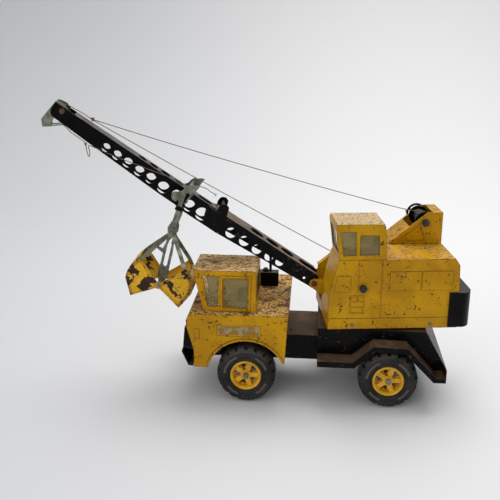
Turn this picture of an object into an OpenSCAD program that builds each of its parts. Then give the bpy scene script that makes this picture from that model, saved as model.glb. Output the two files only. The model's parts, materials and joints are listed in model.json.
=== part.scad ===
// Toy mobile clam-shell crane truck, pressed steel, as an assembly of separate parts.
// Row frame: front of the truck -X, its left side -Y, +Z up, origin under the centre of the box.
// Chassis parts are drawn with the front axle at x = 0 and moved by shift_x at the end.
// The upper works are drawn unswung, then turned about the turntable by house_swing.

/* [Placement] */
// x of the front axle in the row frame
shift_x = -16.235; // [-30:0.005:10]
// angle the upper works are parked at, about the turntable
house_swing = 7.8; // [0:0.1:20]
// x of the turntable axis, from the front axle
pivot_x = 260; // [230:1:290]

/* [Wheels] */
// distance between the axles
wheelbase = 260; // [220:1:300]
// outer radius of a tyre
tyre_r = 54; // [45:0.5:60]
// inner face of a tyre, from the centre plane
tyre_in = 66; // [60:1:80]
// width of a tyre
tyre_w = 46; // [30:1:50]
// radius of the seat between rim and tyre
seat_r = 27; // [22:0.5:32]
// number of tread lugs on each shoulder
lugs = 18; // [12:1:30]
// radius of the axle rods
axle_r = 3; // [2:0.1:5]

/* [Lower body] */
// thickness of the pressed sheet
sheet = 1.4; // [0.8:0.1:2.5]
// half width of the fender body
body_h = 116; // [100:1:125]
// height of the front deck
deck_z = 175; // [160:1:190]
// radius of the wheel arches
arch_r = 72; // [60:1:80]
// half width of the chassis rail
rail_h = 61; // [50:1:64]
// height of the low rail deck
rail_z = 118; // [100:1:130]
// half width of the rear body
rear_h = 80; // [70:1:90]
// height of the rear body
rear_z = 141; // [130:1:150]

/* [Upper works] */
// half width of the house
house_h = 80; // [70:1:90]
// underside of the house
house_z0 = 146.5; // [142:0.5:160]
// top of the house
house_z1 = 277.5; // [260:0.5:300]
// top of the operator cab
opcab_z = 342.5; // [320:0.5:360]
// near side of the winch housing
gantry_y0 = 15; // [10:1:25]
// far side of the winch housing
gantry_y1 = 78; // [60:1:79]

/* [Boom] */
// near face of the lower boom
boom_y0 = 9; // [7:0.5:20]
// width of the lower boom
boom_w = 54; // [40:1:58]
// width of the upper boom
up_w = 32; // [28:1:44]
// boom pivot x
bp_x = 120; // [110:1:130]
// boom pivot z
bp_z = 204; // [190:1:220]

/* [Clam] */
// lean of the parked clam
clam_tilt = 14; // [0:0.1:25]
// distance from the yoke pin down to the shell hinge, open
clam_d = 99.2; // [90:0.5:120]
// radius from the shell hinge to the arm point
clam_r = 60; // [50:0.1:70]
// angle of the arm point from the stem, open
clam_a = 47.6; // [40:0.1:60]
// half width of the shells
clam_w = 33; // [25:0.5:45]

/* [Hidden] */
$fn = 48;
yellow = [0.72, 0.50, 0.10];
black = [0.06, 0.06, 0.06];
grey = [0.45, 0.47, 0.42];
rust = [0.30, 0.20, 0.13];
boom_yc = boom_y0 + boom_w / 2;
up_y0 = boom_yc - up_w / 2;

// ---------- helpers ----------
module chassis() { translate([shift_x, 0, 0]) children(); }
module upper() {
  translate([shift_x + pivot_x, 0, 0]) rotate([0, 0, house_swing])
    translate([-pivot_x, 0, 0]) children();
}
// extrude an (x, z) outline across y, from y0 to y1
module xz(y0, y1) { translate([0, y1, 0]) rotate([90, 0, 0]) linear_extrude(y1 - y0) children(); }
// a rod across y
module rod(x, z, y0, y1, r) { translate([x, y0, z]) rotate([-90, 0, 0]) cylinder(h = y1 - y0, r = r); }
module both() { children(); mirror([0, 1, 0]) children(); }

// ---------- chassis ----------
module chassis_rail() color(black) chassis() {
  // low front part, seen between the cab and the house
  difference() {
    translate([-93.4, -rail_h, 70]) cube([225.4, 2 * rail_h, rail_z - 70]);
    translate([-95, -rail_h + sheet, 69]) cube([230, 2 * (rail_h - sheet), rail_z - 69 - sheet]);
    for (s = [-1, 1]) {
      translate([80, s * 40, 100]) cylinder(h = 30, r = 2.2);
      translate([120, s * 52, 100]) cylinder(h = 30, r = 2.2);
    }
  }
  // raised rear part under the rear body
  difference() {
    translate([132, -rail_h, 82]) cube([190, 2 * rail_h, rear_z - sheet - 82]);
    translate([131, -rail_h + sheet, 80]) cube([192, 2 * (rail_h - sheet), rear_z - 80 - 2 * sheet]);
    translate([pivot_x, 0, 120]) cylinder(h = 30, r = 8.1);
  }
}
// side outline of the rear body above the running boards
module rear_side() polygon([[130, 91], [193, 91], [231, 124], [291, 122], [327, 122], [327, rear_z],
  [130, rear_z]]);
module rear_deck() color(black) chassis() difference() {
  union() {
    difference() {
      xz(-rear_h, rear_h) rear_side();
      xz(-rear_h + sheet, rear_h - sheet)
        polygon([[131.4, 60], [400, 60], [400, rear_z - sheet], [131.4, rear_z - sheet]]);
    }
    both() {
      // running board and fender flange
      xz(rear_h - sheet, body_h) polygon([[130, 91], [193.5, 91], [231.5, 124], [291.5, 122], [345, 66], [362, 66],
        [362, 64.6], [344, 64.6], [290.8, 120.6], [232, 122.6], [194, 89.6], [130, 89.6]]);
      // its turned-down lip
      xz(body_h - sheet, body_h) polygon([[130, 91], [193.5, 91], [231.5, 124], [291.5, 122], [345, 66], [362, 66],
        [362, 58], [340, 58], [287, 112], [234, 114], [197, 80], [130, 80]]);
      translate([130, rear_h - sheet, 80]) cube([sheet, body_h - rear_h + sheet, 11]);
      // body side carried back to the tail
      xz(rear_h - sheet, rear_h) polygon([[326, rear_z], [327, rear_z], [362, 84], [362, 66], [345, 66], [291, 122]]);
    }
    // sloping tail plate, wider at its foot
    difference() {
      xz(-body_h, body_h) polygon([[325.4, rear_z], [327, rear_z], [362, 84], [360.4, 84]]);
      both() translate([300, 0, 0]) rotate([90, 0, 90]) linear_extrude(80)
        polygon([[rear_h, rear_z + 1], [rear_h, rear_z], [body_h, 84], [body_h + 5, 84], [body_h + 5, rear_z + 1]]);
    }
    translate([360.6, -body_h, 58]) cube([sheet, 2 * body_h, 26]);
  }
  translate([120, -rail_h - 0.3, 50]) cube([20, 2 * rail_h + 0.6, rail_z + 0.4 - 50]);
  translate([pivot_x, 0, 120]) cylinder(h = 30, r = 8.1);
}
module front_bumper() color(black) chassis() xz(-113, 113)
  polygon([[-97, 105.4], [-114.8, 110], [-118, 99], [-106, 72], [-97, 71], [-97, 73.6], [-104.6, 74.2],
    [-115, 99], [-112.8, 106.4], [-97, 102.6]]);
module grille() color(black) chassis() difference() {
  xz(-111, 111) polygon([[-108.2, 145.6], [-112, 146], [-115.2, 111], [-98.9, 109]]);
  for (i = [-5 : 5]) translate([-117, i * 18 - 5, 116]) cube([6, 10, 24]);
}
module fender_outline() polygon([[-95, 71], [-95, 104], [-107, 146], [-110, 159], [-105, 171],
  [-101, deck_z], [76, deck_z], [71, 84], [66, 84], [66, 71]]);
module fender_inner() polygon([[-93.6, 60], [-93.6, 104.2], [-105.6, 146.3], [-108.4, 159], [-103.8, 170.2],
  [-100.4, deck_z - sheet], [74.6, deck_z - sheet], [69.6, 84], [60, 60]]);
module fender_body() color(yellow) chassis() difference() {
  union() {
    difference() {
      xz(-body_h, body_h) fender_outline();
      xz(-body_h + sheet, body_h - sheet) fender_inner();
      // rounded front corners
      for (s = [-1, 1]) translate([-110, s * body_h, 60]) difference() {
        translate([-6, -6, 0]) cube([12, 12, 130]);
        translate([7, -s * 6, -1]) cylinder(h = 132, r = 6.5);
      }
    }
    // rolled lip around each wheel arch
    both() intersection() {
      difference() {
        rod(1, 53.5, body_h - sheet, body_h + 1.4, arch_r + 4.5);
        rod(1, 53.5, body_h - 2 * sheet, body_h + 2, arch_r);
      }
      xz(body_h - 4, body_h + 4) polygon([[-71, 71], [-76, 130], [80, 130], [70.8, 84], [66, 71]]);
    }
    // small pressed bosses on the sides
    both() {
      rod(53, 132, body_h - 0.2, body_h + 0.9, 3.6);
      rod(-84, 91, body_h - 0.2, body_h + 0.9, 2.6);
      translate([-93, body_h - 0.2, 127]) cube([9, 1, 19]);
    }
  }
  rod(1, 53.5, -body_h - 5, body_h + 5, arch_r);
  translate([20, -body_h - 5, 40]) cube([70, 2 * body_h + 10, 44]);
  // shallow name-plate recess
  both() translate([-53, body_h - 0.5, 134]) cube([80, 2, 22]);
  // passage for the rail
  translate([60, -rail_h - 0.4, 40]) cube([40, 2 * rail_h + 0.8, rail_z + 0.5 - 40]);
}
module cab_solid(t) intersection() {
  xz(-101, 13) polygon([[-79 + t, deck_z - 1], [-79 + t, deck_z], [-98 + t, 250 - t], [17 - t, 250 - t],
    [17 - t, deck_z - 1]]);
  rotate([0, 0, 90]) xz(-130, 130) polygon([[-100 + t, deck_z - 1], [-100 + t, deck_z],
    [-92 + t, 250 - t], [4 - t, 250 - t], [12 - t, deck_z], [12 - t, deck_z - 1]]);
}
module cab_windows() {
  xz(-110, 20) polygon([[-80, 239], [-51, 240], [-52, 184], [-71, 184]]);
  xz(-110, 20) polygon([[-42, 235], [2, 235], [1, 183], [-42, 183]]);
  translate([-110, -86, 184]) cube([40, 84, 55]);
  translate([10, -84, 190]) cube([20, 80, 45]);
}
module cab_shell() color(yellow) chassis() difference() {
  union() {
    cab_solid(0);
    // pressed door frames
    intersection() {
      difference() {
        cab_solid(-0.9);
        xz(-110, 20) polygon([[-44, 237], [4, 237], [3, 181], [-44, 181]]);
      }
      xz(-110, 20) polygon([[-48, 241], [8, 241], [7, 177], [-48, 177]]);
    }
  }
  cab_solid(sheet);
  cab_windows();
  translate([-130, -110, 160]) cube([170, 140, 15]);
}
module cab_glazing() color([0.8, 0.82, 0.75, 0.4]) chassis() difference() {
  cab_solid(sheet + 0.4);
  cab_solid(sheet + 1.5);
  translate([-130, -110, 160]) cube([170, 140, 15.4]);
}
module exhaust_unit() color(black) chassis() {
  translate([13, 43, deck_z]) cube([37, 20, 28]);
  translate([34, 53, deck_z + 27]) cylinder(h = 36, r = 2.6);
  translate([34, 53, deck_z + 59]) cylinder(h = 4, r = 4.4);
  translate([24.5, 53, deck_z + 27]) cylinder(h = 5, r = 5.6);
  translate([24.5, 53, deck_z + 32]) cylinder(h = 3, r1 = 5.6, r2 = 3);
}
module axle(x) color(grey) chassis() rod(x, tyre_r, -112.6, 112.6, axle_r);
module axle_brackets() color(black) chassis() for (x = [0, wheelbase]) both() difference() {
  xz(rail_h - 2 * sheet, rail_h - sheet) polygon([[x - 26, 108], [x + 26, 108], [x + 10, 46], [x - 10, 46]]);
  rod(x, tyre_r, 50, 70, axle_r + 0.05);
}
module turntable_plate() color(black) chassis() difference() {
  translate([pivot_x, 0, rear_z]) cylinder(h = house_z0 - rear_z - 0.3, r = 60, $fn = 96);
  translate([pivot_x, 0, rear_z - 1]) cylinder(h = 10, r = 8.1);
}
module turntable_pivot() color(grey) chassis() {
  translate([pivot_x, 0, rear_z - 6]) cylinder(h = house_z0 + 8 - rear_z, r = 8.06);
  translate([pivot_x, 0, house_z0 + sheet + 0.3]) cylinder(h = 3, r = 13);
}

// ---------- wheels, drawn about their own centre, outboard +y ----------
module tyre_shape() difference() {
  rotate([-90, 0, 0]) rotate_extrude($fn = 96) polygon([[seat_r, 6], [seat_r + 2, 3], [seat_r + 12, 0.6], [tyre_r - 8, 1.6],
    [tyre_r - 2, 6], [tyre_r, 12], [tyre_r, tyre_w - 12], [tyre_r - 2, tyre_w - 6], [tyre_r - 8, tyre_w - 1.6],
    [seat_r + 12, tyre_w - 0.6], [seat_r + 3, tyre_w - 2.4], [seat_r + 2, tyre_w - 6], [seat_r, tyre_w - 6]]);
  for (i = [0 : lugs - 1]) rotate([0, i * 360 / lugs, 0]) {
    translate([tyre_r - 5, -1, -3]) cube([8, 15, 6]);
    rotate([0, 180 / lugs, 0]) translate([tyre_r - 5, tyre_w - 14, -3]) cube([8, 15, 6]);
  }
}
module rim_shape() difference() {
  union() {
    rotate([-90, 0, 0]) rotate_extrude($fn = 72) polygon([[23, 4], [24.4, 3], [24.4, 5.9], [seat_r, 6], [seat_r, tyre_w - 6],
      [28.6, tyre_w - 6], [28.6, tyre_w - 1.6], [27, tyre_w - 0.4], [24.6, tyre_w - 1.6], [23, tyre_w - 5]]);
    // web, spokes and hub
    rod(0, 0, 30, 33, 24);
    rod(0, 0, 2, tyre_w - 3.4, 6.4);
    rod(0, 0, 33, tyre_w - 5, 9.5);
    for (i = [0 : 4]) rotate([0, i * 72, 0]) translate([6, 33, -4.4]) cube([17.6, 6.5, 8.8]);
  }
  rod(0, 0, -5, tyre_w + 5, axle_r + 0.06);
  for (i = [0 : 4]) rotate([0, i * 72 + 36, 0]) {
    rod(15.6, 0, 28, 38, 4.3);
    rod(19.2, 3.4, 28, 38, 2.4);
    rod(19.2, -3.4, 28, 38, 2.4);
  }
}
module cap_shape() {
  rod(0, 0, tyre_w - 2.9, tyre_w + 0.6, 5.2);
  translate([0, tyre_w + 0.6, 0]) rotate([-90, 0, 0]) cylinder(h = 2.2, r1 = 4.6, r2 = 2.4);
}
module cap_cut() difference() { cap_shape(); rod(0, 0, tyre_w - 4, tyre_w + 0.6, axle_r + 0.02); }
// side -1 is the near (left) wheel, +1 the far (right) wheel
module at_wheel(x, s) chassis() translate([x, 0, tyre_r]) mirror([0, s < 0 ? 1 : 0, 0]) translate([0, tyre_in, 0]) children();

// ---------- upper works ----------
module house_front_cut() {
  // sloped hood over the boom side
  xz(4.2, 90) polygon([[120, 221], [135, 221], [206, 279], [206, 300], [100, 300]]);
}
module house_base() color(yellow) upper() difference() {
  translate([135, -house_h, house_z0]) cube([237, 2 * house_h, 20.3]);
  translate([135 + sheet, -house_h + sheet, house_z0 + sheet]) cube([237 - 2 * sheet, 2 * (house_h - sheet), 30]);
  translate([pivot_x, 0, 100]) cylinder(h = 100, r = 8.2);
  both() for (x = [180, 323]) rod(x, 154, house_h - 5, house_h + 2, 1.62);
}
module house_shell() color(yellow) upper() difference() {
  union() {
    difference() {
      xz(-house_h, house_h) polygon([[135, 167], [135, 208], [140, 230], [146, 256], [150, 273], [153, house_z1],
        [361, house_z1], [369, 266], [372, 216], [372, 167]]);
      xz(-house_h + sheet, house_h - sheet) polygon([[136.4, 160], [136.4, 207.8], [141.4, 229.8], [147.4, 255.8],
        [151, 272], [153.8, house_z1 - sheet], [360.2, house_z1 - sheet], [367.6, 265.8], [370.6, 216], [370.6, 160]]);
      house_front_cut();
      // eased top edges along both sides
      both() translate([100, -house_h, house_z1]) rotate([45, 0, 0]) cube([300, 4, 4], center = false);
    }
    // sloped hood, inner wall beside the boom, far cheek
    intersection() {
      xz(4, house_h) polygon([[135, 221], [206, 279], [206, 277.3], [137, 220.4]]);
      translate([100, 0, 100]) cube([300, 100, house_z1 - 100]);
    }
    xz(4, 4 + sheet) polygon([[135.2, 167], [135.2, 208], [150, 273], [153, house_z1 - 1], [206, house_z1 - 1], [206, 167]]);
    xz(66, 66 + sheet) polygon([[135.2, 167], [135.2, 221], [204, 277], [206, 167]]);
    // raised pressings on the near side: doors, panel, ladder
    translate([244, -house_h - 0.8, 219]) cube([57, 1, 36]);
    translate([302.5, -house_h - 0.8, 219.5]) cube([56.5, 1, 36]);
    xz(-house_h - 0.8, -house_h + 0.1) polygon([[150, 248], [174, 248], [174, 218], [144, 218]]);
    for (z = [176, 187, 198, 208]) translate([173, -house_h - 0.8, z]) cube([27, 1, 2.4]);
    for (x = [173, 197.6]) translate([x, -house_h - 0.8, 176]) cube([2.4, 1, 34.4]);
    translate([187, -house_h - 0.5, 216]) cube([1.6, 1, 61]);
    translate([229, -house_h - 0.5, 168]) cube([1.6, 1, 109]);
    rod(295, 237, -house_h - 3, -house_h, 1.5);
    rod(309, 237, -house_h - 3, -house_h, 1.5);
  }
  // boom slot in the front
  translate([120, 4 + sheet, 168.6]) cube([16.6, 66 - 4 - sheet, 100]);
  xz(4 + sheet, 66) polygon([[130, 200], [176, 240], [176, 300], [110, 300]]);
  // window to the gantry drum and to the operator cab
  translate([156, -76, house_z1 - 5]) cube([74, 72, 10]);
  translate([300, 20, house_z1 - 5]) cube([50, 50, 10]);
  // hoist axle holes
  rod(196, 225, -90, 90, 3.05);
}
module house_screws() color(grey) upper() both() for (x = [180, 323]) {
  rod(x, 154, house_h, house_h + 1.6, 3.2);
  rod(x, 154, house_h - sheet, house_h + 0.5, 1.6);
}
module operator_solid(t) intersection() {
  xz(-house_h - 1, 3) polygon([[152 + t, house_z1 - 1], [144 + t, opcab_z - 6], [146 + t, opcab_z - t],
    [230 - t, opcab_z - t], [232 - t, opcab_z - 6], [236 - t, house_z1 - 1]]);
  translate([100, -house_h + t, house_z1 - 1]) cube([200, 82 - 2 * t, 100]);
}
module operator_cab() color(yellow) upper() difference() {
  operator_solid(0);
  operator_solid(sheet);
  translate([100, -100, house_z1 - 20]) cube([200, 120, 20]);
  xz(-90, 10) polygon([[153, 329], [180, 329], [182, 286], [159, 286]]);
  xz(-90, 10) polygon([[188, 323], [221, 322], [223, 287], [188, 286]]);
  translate([130, -74, 288]) cube([30, 70, 42]);
}
module operator_glazing() color([0.8, 0.82, 0.75, 0.4]) upper() difference() {
  operator_solid(sheet + 0.4);
  operator_solid(sheet + 1.5);
  translate([100, -100, house_z1 - 20]) cube([200, 120, 20.4]);
}
drum_x = 327;
drum_z = 319.5;
module gantry_outline() polygon([[258, house_z1], [331, 337.5], [360, 338], [360, house_z1]]);
module gantry() color(yellow) upper() difference() {
  union() {
    difference() {
      xz(gantry_y0, gantry_y1) gantry_outline();
      xz(gantry_y0 + sheet, gantry_y1 - sheet) polygon([[250, 260], [260.6, house_z1], [331.6, 336.1], [358.6, 336.6],
        [358.6, 260]]);
    }
    // triangular pressings
    for (y = [gantry_y0 - 0.7, gantry_y1 - 0.2]) xz(y, y + 0.9) difference() {
      polygon([[276, 283], [318, 318], [330, 283]]);
      polygon([[282, 285], [317, 314], [327, 285]]);
    }
  }
  xz(gantry_y0 + 4, gantry_y1 - 4) polygon([[299, 305], [299, 340], [341, 345], [341, 305]]);
  rod(drum_x, drum_z, 0, 100, 3.05);
}
module counterweight() color(black) upper() difference() {
  translate([0, 0, 149]) linear_extrude(66) polygon(concat([[354, -84], [372, -84]],
    [for (a = [-70 : 10 : 70]) [372 + 25 * cos(a) , a < 0 ? -62 + 24 * sin(a) : 62 + 24 * sin(a)]],
    [[372, 84], [354, 84]]));
  translate([350, -house_h - 0.3, 140]) cube([22.4, 2 * house_h + 0.6, 90]);
}
module boom_bracket() color(yellow) upper() difference() {
  for (y = [5.4, 64.5]) xz(y, y + 1.5) union() {
    translate([bp_x, bp_z]) circle(r = 9);
    polygon([[120, 213], [150, 213], [150, 172], [138, 178], [114, 197.2]]);
  }
  rod(bp_x, bp_z, 0, 80, 4.02);
}
module boom_pivot_pin() color(rust) upper() {
  rod(bp_x, bp_z, 5.2, 66.5, 4);
  rod(bp_x, bp_z, 3.2, 5.4, 5.6);
  rod(bp_x, bp_z, 66.3, 68.5, 5.6);
}
module luff_axle() color(grey) upper() rod(drum_x, drum_z, 8, 92, 3);
module luff_drum() color(black) upper() difference() {
  union() {
    rod(drum_x, drum_z, 24, 70, 12);
    rod(drum_x, drum_z, 22, 25, 18);
    rod(drum_x, drum_z, 69, 72, 18);
  }
  rod(drum_x, drum_z, 10, 90, 3.04);
}
module luff_handwheel() color(black) upper() difference() {
  union() {
    translate([drum_x, 86, drum_z]) rotate([90, 0, 0]) rotate_extrude($fn = 60) translate([17, 0]) circle(r = 2.2, $fn = 16);
    for (i = [0 : 2]) translate([drum_x, 86, drum_z]) rotate([0, 90 + i * 120, 0]) translate([0, -1.6, -1.8]) cube([17, 3.2, 3.6]);
    rod(drum_x, drum_z, 82, 90, 5);
    rod(drum_x - 17, drum_z + 1, 86, 95, 2);
  }
  rod(drum_x, drum_z, 70, 100, 3.04);
}
module knob(x, z, y) {
  rod(x, z, y, y + 6, 6.8);
  rod(x, z, y - 1, y, 5.6);
}
module luff_knob() color(grey) upper() difference() {
  knob(drum_x, drum_z, gantry_y0 - 7.2);
  rod(drum_x, drum_z, 8, 30, 3.02);
}
hoist_x = 196;
hoist_z = 225;
module hoist_axle() color(grey) upper() rod(hoist_x, hoist_z, -86, 86, 3);
module hoist_drum() color(black) upper() difference() {
  union() {
    rod(hoist_x, hoist_z, 18, 54, 10);
    rod(hoist_x, hoist_z, 16, 18.5, 16);
    rod(hoist_x, hoist_z, 53.5, 56, 16);
  }
  rod(hoist_x, hoist_z, 0, 90, 3.04);
}
module hoist_knob() color(grey) upper() difference() {
  union() {
    knob(hoist_x, hoist_z, -house_h - 7.2);
    rod(hoist_x, hoist_z, house_h + 1.2, house_h + 7, 6.8);
  }
  rod(hoist_x, hoist_z, -86, 86, 3.02);
}

// ---------- boom ----------
low_slope = 0.677;
up_slope = 0.7014;
function top_z(x) = 305.1 - low_slope * x;
function up_z(x) = 301.84 - up_slope * x;
function low_z(x) = 263 + 0.6045 * (4 - x);
low_holes = [[-37, 304, 10], [-12, 288, 9.8], [11, 271.5, 9.2], [34, 257, 8.4], [54, 246, 7.8]];
up_holes = [[-259.5, 461.6, 7.8], [-240.8, 447.8, 8.5], [-222.1, 434.2, 9], [-202.3, 418.9, 9.3], [-181.9, 405.2, 9.7],
  [-159.8, 388, 10.9], [-134.9, 372.7, 10.9], [-113.4, 353.5, 11.2], [-90.3, 337.5, 12.3]];
split_x = -62;
module lower_web() {
  polygon([[117, 194.2], [split_x + 0.3, low_z(split_x + 0.3)], [split_x + 0.3, top_z(split_x + 0.3)], [126, top_z(126)],
    [133, 208]]);
  translate([bp_x, bp_z]) circle(r = 10.6);
}
module upper_web() polygon([[split_x - 0.3, 299.4], [-83.2, 314.1], [-121.5, 340.8], [-141.3, 357.3], [-168, 376.5],
  [-295.4, 474.2], [-335.1, 505.6], [-348.5, 515.6], [-352, 518.5], [-353.8, 525.1], [-351.4, 531.7],
  [-343.4, up_z(-343.4)], [split_x - 0.3, up_z(split_x - 0.3)]]);
// holes square to a sloping top plate, at centre x
module top_hole(x, r) translate([x, boom_yc, top_z(x)]) rotate([0, atan(low_slope), 0])
  cylinder(h = 12, r = r, center = true);
module up_top_hole(x, r) translate([x, boom_yc, up_z(x)]) rotate([0, atan(up_slope), 0])
  cylinder(h = 12, r = r, center = true);
module boom_lower() color(black) upper() difference() {
  xz(boom_y0, boom_y0 + boom_w) lower_web();
  xz(boom_y0 + sheet, boom_y0 + boom_w - sheet) polygon([[150, 160], [-100, 280], [-100, top_z(-100) - 1.7],
    [180, top_z(180) - 1.7]]);
  for (h = low_holes) rod(h[0], h[1], 0, 80, h[2]);
  rod(101, 214, 0, 80, 2.5);
  rod(bp_x, bp_z, 0, 80, 4.06);
  for (x = [13, 42.5, 71]) top_hole(x, 14.8);
  hull() { top_hole(104, 13); top_hole(140, 13); }
}
module boom_upper() color(black) upper() difference() {
  xz(up_y0, up_y0 + up_w) upper_web();
  xz(up_y0 + sheet, up_y0 + up_w - sheet) polygon([[0, 200], [-500, 500], [-500, up_z(-500) - 1.7], [0, up_z(0) - 1.7]]);
  for (h = up_holes) rod(h[0], h[1], 0, 80, h[2]);
  rod(tip_x, tip_z, 0, 80, 3.02);
  for (h = [[-196, 9], [-176, 9.4], [-155.5, 10.7], [-131, 10]]) up_top_hole(h[0], h[1]);
  hull() { up_top_hole(-90, 8); up_top_hole(-77, 8); }
  // mouth for the lines over the sheave
  xz(up_y0 + sheet, up_y0 + up_w - sheet) polygon([[-312, 500], [-312, 560], [-370, 560], [-370, 500]]);
}
// side plates holding the two halves, stepped in to the narrower upper boom
module splice_side() {
  difference() {
    xz(boom_w / 2 + 0.2, boom_w / 2 + 1.7) union() {
      polygon([[-62.2, 305.9], [-49, low_z(-49) + 3], [-45, top_z(-45) - 2], [-40, 352], [-44, 358], [-54, 358],
        [-60, 352], [-62.2, 345]]);
      translate([-50, 349.5]) circle(r = 9.5);
    }
    rod(-50, 349.5, 0, 80, 3.02);
  }
  hull() {
    translate([-62.4, boom_w / 2 + 0.2, 305.9]) cube([0.4, 1.5, 39.1]);
    translate([-76.4, up_w / 2 + 0.2, 312.5]) cube([0.4, 1.5, 40]);
  }
  xz(up_w / 2 + 0.2, up_w / 2 + 1.7) polygon([[-76.2, 312.5], [-88, 320.5], [-78.5, 354.2], [-76.2, 352.5]]);
  rod(-57, 338, boom_w / 2 + 1.5, boom_w / 2 + 3.4, 5);
  rod(-67, 317, boom_w / 2 - 3.4, boom_w / 2 + 0.2, 3.4);
}
module boom_splice() color(black) upper() translate([0, boom_yc, 0]) both() splice_side();
roller_x = -50;
roller_z = 349.5;
module guide_roller() color(black) upper() rod(roller_x, roller_z, boom_y0 - 2.6, boom_y0 + boom_w + 2.6, 2.96);
tip_x = -333.2;
tip_z = 526.5;
nose_h = up_w / 2 - 2.6;
module nose_outline(t) polygon([[-337, 542.5 - 2 * t], [-343 + t, 544.5 - t], [-371 + t, 513], [-370 + t, 499 + t],
  [-357 - t, 499 + t], [-356 - t, 506], [-352 - t, 513], [-346, 518 + t], [-326, 521 + t], [-322, 530], [-328, 538]]);
module boom_nose() color(grey) upper() difference() {
  union() {
    difference() {
      xz(boom_yc - nose_h, boom_yc + nose_h) nose_outline(0);
      xz(boom_yc - nose_h + 1.4, boom_yc + nose_h - 1.4) nose_outline(1.4);
      xz(boom_yc - nose_h + 1.4, boom_yc + nose_h - 1.4) polygon([[-348, 500], [-315, 500], [-315, 560], [-348, 560]]);
    }
    // thin rod closing the hook
    for (s = [-1, 1]) translate([-358, boom_yc + s * (nose_h - 1.8), 500.2]) rotate([0, 84.5, 0])
      cylinder(h = 27, r = 1.1, $fn = 16);
  }
  rod(tip_x, tip_z, 0, 80, 3.02);
}
module tip_pin() color(rust) upper() {
  rod(tip_x, tip_z, up_y0 - 0.6, up_y0 + up_w + 0.6, 3);
  rod(tip_x, tip_z, up_y0 - 2.2, up_y0 - 0.4, 5);
  rod(tip_x, tip_z, up_y0 + up_w + 0.4, up_y0 + up_w + 2.2, 5);
}
module tip_sheave() color(black) upper() difference() {
  translate([tip_x, boom_yc, tip_z]) rotate([90, 0, 0]) rotate_extrude() polygon([[0, -4], [12, -4], [12, -3], [9.4, -1.2],
    [9.4, 1.2], [12, 3], [12, 4], [0, 4]]);
  rod(tip_x, tip_z, 0, 80, 3.07);
}

// ---------- clam, drawn about the yoke pin with the stem along z ----------
clam_x = -147;
clam_y = -17.2;
clam_z = 298.7;
module clam_at() chassis() translate([clam_x, clam_y, clam_z]) rotate([0, clam_tilt, 0]) children();
head_x = 13.5;
head_z = 94;
module clam_hanger() color(grey) clam_at() {
  both() difference() {
    union() {
      // bent stem strip, from the saddle down to the yoke
      rotate([0, 5, 0]) rotate([0, 0, 90]) xz(-4, 4) polygon([[30.7, 88], [32.7, 88], [32.7, 27.4],
        [8.4, 8.4], [8.4, -5], [6.4, -5], [6.4, 9], [30.7, 28]]);
      // saddle plate with a lobe and a horn
      xz(32.3, 33.9) polygon([[-13.3, 75.6], [-13.7, 82.5], [-9.9, 85.9], [-2.2, 87.3], [4.1, 91.4], [7, 96.8],
        [10.9, 101.6], [15.1, 103.7], [18.3, 101.8], [22.2, 104.5], [27.5, 106.2], [33.2, 105.9], [29.6, 99.1],
        [27.2, 92.7], [23.4, 84.6], [18.3, 77.3], [15.9, 72.7], [13.6, 73], [16.6, 80.4], [19.4, 87], [15.5, 89.4],
        [12.4, 88.1], [10.8, 79.9], [9, 70], [7.7, 63.8], [2.9, 62.5], [3.3, 70.8], [-1, 72], [-6.1, 68.9],
        [-10.4, 71]]);
      // yoke cheek and its rivet
      xz(8, 9.4) polygon([[-7, -4], [-10, 9], [-7, 17.5], [-1, 21.3], [5.4, 20], [8.7, 12.5], [9, 0.5], [5, -5],
        [-3, -6]]);
      rod(0, 11, 9.2, 10.8, 2.4);
    }
    rod(0, 0, 0, 20, 2.45);
    rod(head_x, head_z, 20, 40, 3.04);
  }
  // trip tongue hanging from the far cheek
  difference() {
    xz(9.4, 10.6) polygon([[-3, -2], [4, -2], [3.4, -8], [-5.6, -27], [-8.5, -40], [-10, -49], [-23, -43],
      [-22, -38], [-12.5, -40], [-9, -27], [-3, -14]]);
    rod(0, 0, 0, 20, 4.2);
  }
}
module hanger_bar() color(grey) clam_at() rod(head_x, head_z, -35, 35, 3);
module yoke_pin() color(grey) clam_at() {
  rod(0, 0, -10.6, 10.6, 2.4);
  for (y = [-11, 9.6]) rod(0, 0, y, y + 1.4, 3.6);
}
module clam_tie() color(black) clam_at() both() rotate([0, 5, 0]) difference() {
  translate([-6.5, 30, 53]) cube([13, 4, 8]);
  translate([-4.05, 30.6, 50]) cube([8.1, 2.2, 20]);
}
bar_half = [[3, 9], [4, 6], [7.5, -20], [9, -40], [9, -65], [10, 9 - clam_d], [6.5, -clam_d]];
module clam_slide_bar() color(grey) clam_at() {
  difference() {
    xz(-1.5, 1.5) difference() {
      union() {
        translate([0, -clam_d]) circle(r = 6.5);
        polygon(concat(bar_half, [for (i = [len(bar_half) - 1 : -1 : 0]) [-bar_half[i][0], bar_half[i][1]]]));
      }
      // slot for the yoke pin
      polygon([[-2.6, 2.6], [-2.6, -23], [-3.8, -25], [-3.8, -67], [-2.6, -68.5], [-2.6, -70.2], [2.6, -70.2],
        [2.6, -68.5], [3.8, -67], [3.8, -25], [2.6, -23], [2.6, 2.6]]);
    }
    rod(0, -clam_d, -5, 5, 2.4);
  }
  rod(0, -clam_d, -clam_w - 2, clam_w + 2, 2.4);
  difference() {
    rod(0, -clam_d, -clam_w + 3.7, clam_w - 3.7, 4.2);
    rod(0, -clam_d, -50, 50, 2.4);
  }
  for (y = [-clam_w - 3.4, clam_w + 1.8]) rod(0, -clam_d, y, y + 1.6, 4);
}
arm_px = clam_r * sin(clam_a);
arm_pz = clam_r * cos(clam_a) - clam_d;
arm_l = sqrt(arm_px * arm_px + arm_pz * arm_pz);
arm_ang = atan2(arm_px, -arm_pz);
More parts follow.
